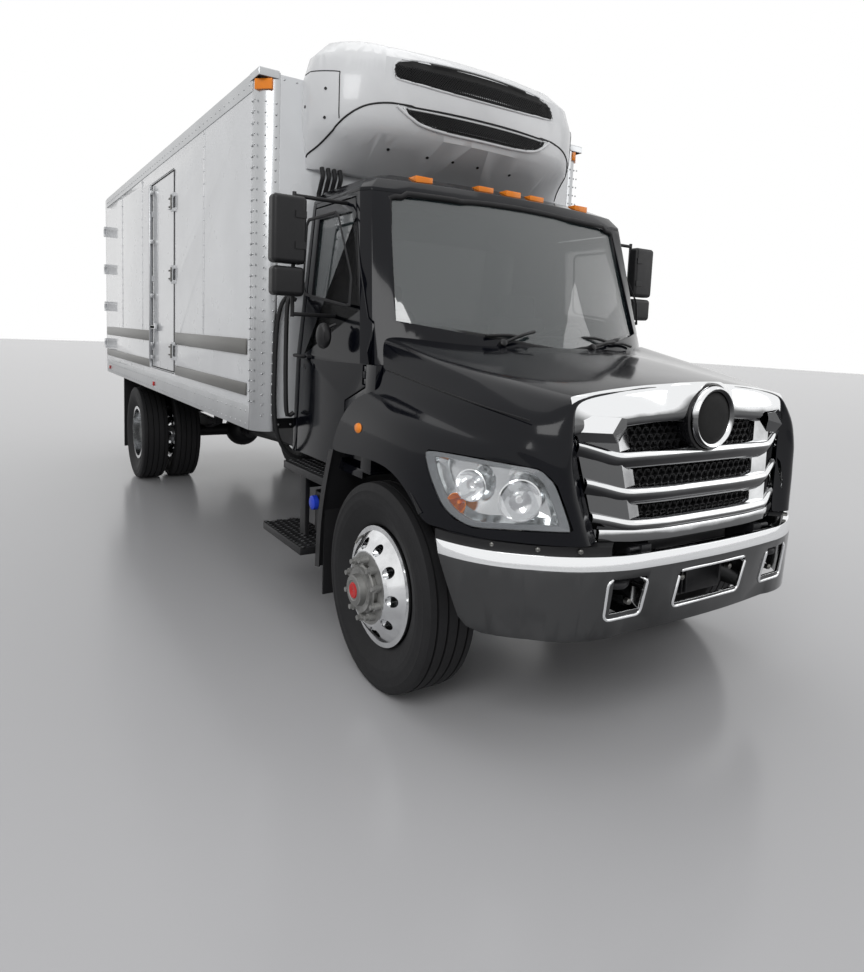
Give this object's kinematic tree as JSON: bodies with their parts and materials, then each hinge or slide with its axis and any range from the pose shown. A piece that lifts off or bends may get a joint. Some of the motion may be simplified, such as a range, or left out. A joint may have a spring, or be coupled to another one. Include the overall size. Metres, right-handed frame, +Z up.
{
  "type": "bonneted refrigerated box truck",
  "caption": "Two-axle bonneted truck with an insulated box body, a refrigeration unit over the cab, steered front wheels, opening doors and a tilting hood.",
  "frame": {"origin": "on the ground, at the centre of the whole truck's footprint", "axes": "+Y runs from the nose to the tail along the truck's length, +X to the driver's left-hand side, +Z up"},
  "size_m": [2.9, 8.3098, 3.5499],
  "materials": {
    "tyre": "satin",
    "polished_aluminium": "polished",
    "black_paint": "gloss",
    "white_paint": "gloss",
    "unit_white": "satin",
    "chassis_black": "satin",
    "chrome": "polished",
    "clear_glass": "clear",
    "black_plastic": "matte",
    "black_rubber": "matte",
    "seat_fabric": "woven",
    "steel_strip": "satin",
    "amber_lens": "gloss",
    "red_lens": "gloss",
    "vent_black": "matte"
  },
  "bodies": {
    "chassis": {"box_cross_members": "chassis_black", "box_floor": "chassis_black", "box_front_wall": "white_paint", "box_left_wall": "white_paint", "box_posts_and_rails": "polished_aluminium", "box_rear_frame": "white_paint", "box_right_wall": "white_paint", "box_roof": "white_paint", "box_sills": "chassis_black", "bumper": "chrome", "cab_back": "black_paint", "cab_floor": "black_paint", "cab_front": "black_paint", "cab_roof": "black_paint", "cab_steps": "chassis_black", "dashboard": "black_plastic", "fluid_tank": "black_plastic", "frame_rails": "chassis_black", "front_axle": "chassis_black", "fuel_tank": "polished_aluminium", "hood_hinges": "chassis_black", "leaf_springs": "chassis_black", "marker_lamps": "amber_lens", "mud_flaps": "black_rubber", "powertrain": "chassis_black", "radiator": "chassis_black", "rear_axle": "chassis_black", "rear_glass": "clear_glass", "rear_guard": "chassis_black", "refrigeration_unit": "unit_white", "rub_rails": "steel_strip", "seats": "seat_fabric", "tail_lamps": "red_lens", "unit_hoses": "black_rubber", "unit_vents": "vent_black", "windshield": "clear_glass"},
    "knuckle_left": {"knuckle_left": "chassis_black"},
    "knuckle_right": {"knuckle_right": "chassis_black"},
    "tie_rod": {"tie_rod": "chassis_black"},
    "steering_wheel": {"steering_wheel": "black_plastic"},
    "hood": {"hood_shell": "black_paint", "grille": "chrome", "headlamps": "clear_glass"},
    "side_door": {"side_door": "white_paint"},
    "front_wheel_left": {"front_tyre_left": "tyre", "front_wheel_left": "polished_aluminium"},
    "rear_wheels_left": {"rear_tyres_left": "tyre", "rear_wheels_left": "polished_aluminium"},
    "cab_door_left": {"cab_door_left": "black_paint", "door_glass_left": "clear_glass", "mirror_left": "black_plastic"},
    "rear_door_left": {"rear_door_left": "white_paint"},
    "front_wheel_right": {"front_tyre_right": "tyre", "front_wheel_right": "polished_aluminium"},
    "rear_wheels_right": {"rear_tyres_right": "tyre", "rear_wheels_right": "polished_aluminium"},
    "cab_door_right": {"cab_door_right": "black_paint", "door_glass_right": "clear_glass", "mirror_right": "black_plastic"},
    "rear_door_right": {"rear_door_right": "white_paint"}
  },
  "joints": [
    {"name": "steer_left", "type": "hinge", "parent": "chassis", "child": "knuckle_left", "pos_m": [0.86, -3.035, 0.518], "axis": [0, 0, 1], "range_deg": [-38, 38]},
    {"name": "steer_right", "type": "hinge", "parent": "chassis", "child": "knuckle_right", "pos_m": [-0.86, -3.035, 0.518], "axis": [0, 0, 1], "range_deg": [-38, 38]},
    {"name": "tie_rod_pivot", "type": "hinge", "parent": "knuckle_left", "child": "tie_rod", "pos_m": [0.86, -2.865, 0.385], "axis": [0, 0, 1], "range_deg": [-38, 38]},
    {"name": "steering_wheel_turn", "type": "hinge", "parent": "chassis", "child": "steering_wheel", "pos_m": [0.56, -2.385, 1.73], "axis": [0, 0.6223, 0.7828], "range_deg": [-684, 684]},
    {"name": "hood_tilt", "type": "hinge", "parent": "chassis", "child": "hood", "pos_m": [0, -4.07, 0.912], "axis": [1, 0, 0], "range_deg": [0, 55]},
    {"name": "side_door_swing", "type": "hinge", "parent": "chassis", "child": "side_door", "pos_m": [-1.3188, 0.376, 2.18], "axis": [0, 0, 1], "range_deg": [0, 170]},
    {"name": "front_wheel_left_roll", "type": "hinge", "parent": "knuckle_left", "child": "front_wheel_left", "pos_m": [0.9955, -3.035, 0.518], "axis": [1, 0, 0], "continuous": true},
    {"name": "rear_wheels_left_roll", "type": "hinge", "parent": "chassis", "child": "rear_wheels_left", "pos_m": [0.935, 2.552, 0.518], "axis": [1, 0, 0], "continuous": true},
    {"name": "cab_door_left_swing", "type": "hinge", "parent": "chassis", "child": "cab_door_left", "pos_m": [1.06, -2.755, 1.59], "axis": [0, 0, 1], "range_deg": [-65, 0]},
    {"name": "rear_door_left_swing", "type": "hinge", "parent": "chassis", "child": "rear_door_left", "pos_m": [1.3108, 4.131, 2.2], "axis": [0, 0, 1], "range_deg": [-255, 0]},
    {"name": "front_wheel_right_roll", "type": "hinge", "parent": "knuckle_right", "child": "front_wheel_right", "pos_m": [-0.9955, -3.035, 0.518], "axis": [1, 0, 0], "continuous": true},
    {"name": "rear_wheels_right_roll", "type": "hinge", "parent": "chassis", "child": "rear_wheels_right", "pos_m": [-0.935, 2.552, 0.518], "axis": [1, 0, 0], "continuous": true},
    {"name": "cab_door_right_swing", "type": "hinge", "parent": "chassis", "child": "cab_door_right", "pos_m": [-1.06, -2.755, 1.59], "axis": [0, 0, 1], "range_deg": [0, 65]},
    {"name": "rear_door_right_swing", "type": "hinge", "parent": "chassis", "child": "rear_door_right", "pos_m": [-1.3108, 4.131, 2.2], "axis": [0, 0, 1], "range_deg": [0, 255]}
  ],
  "couplings": [
    {"joint": "steer_right", "follows": "steer_left", "ratio": 1},
    {"joint": "tie_rod_pivot", "follows": "steer_left", "ratio": -1},
    {"joint": "steering_wheel_turn", "follows": "steer_left", "ratio": 18}
  ]
}
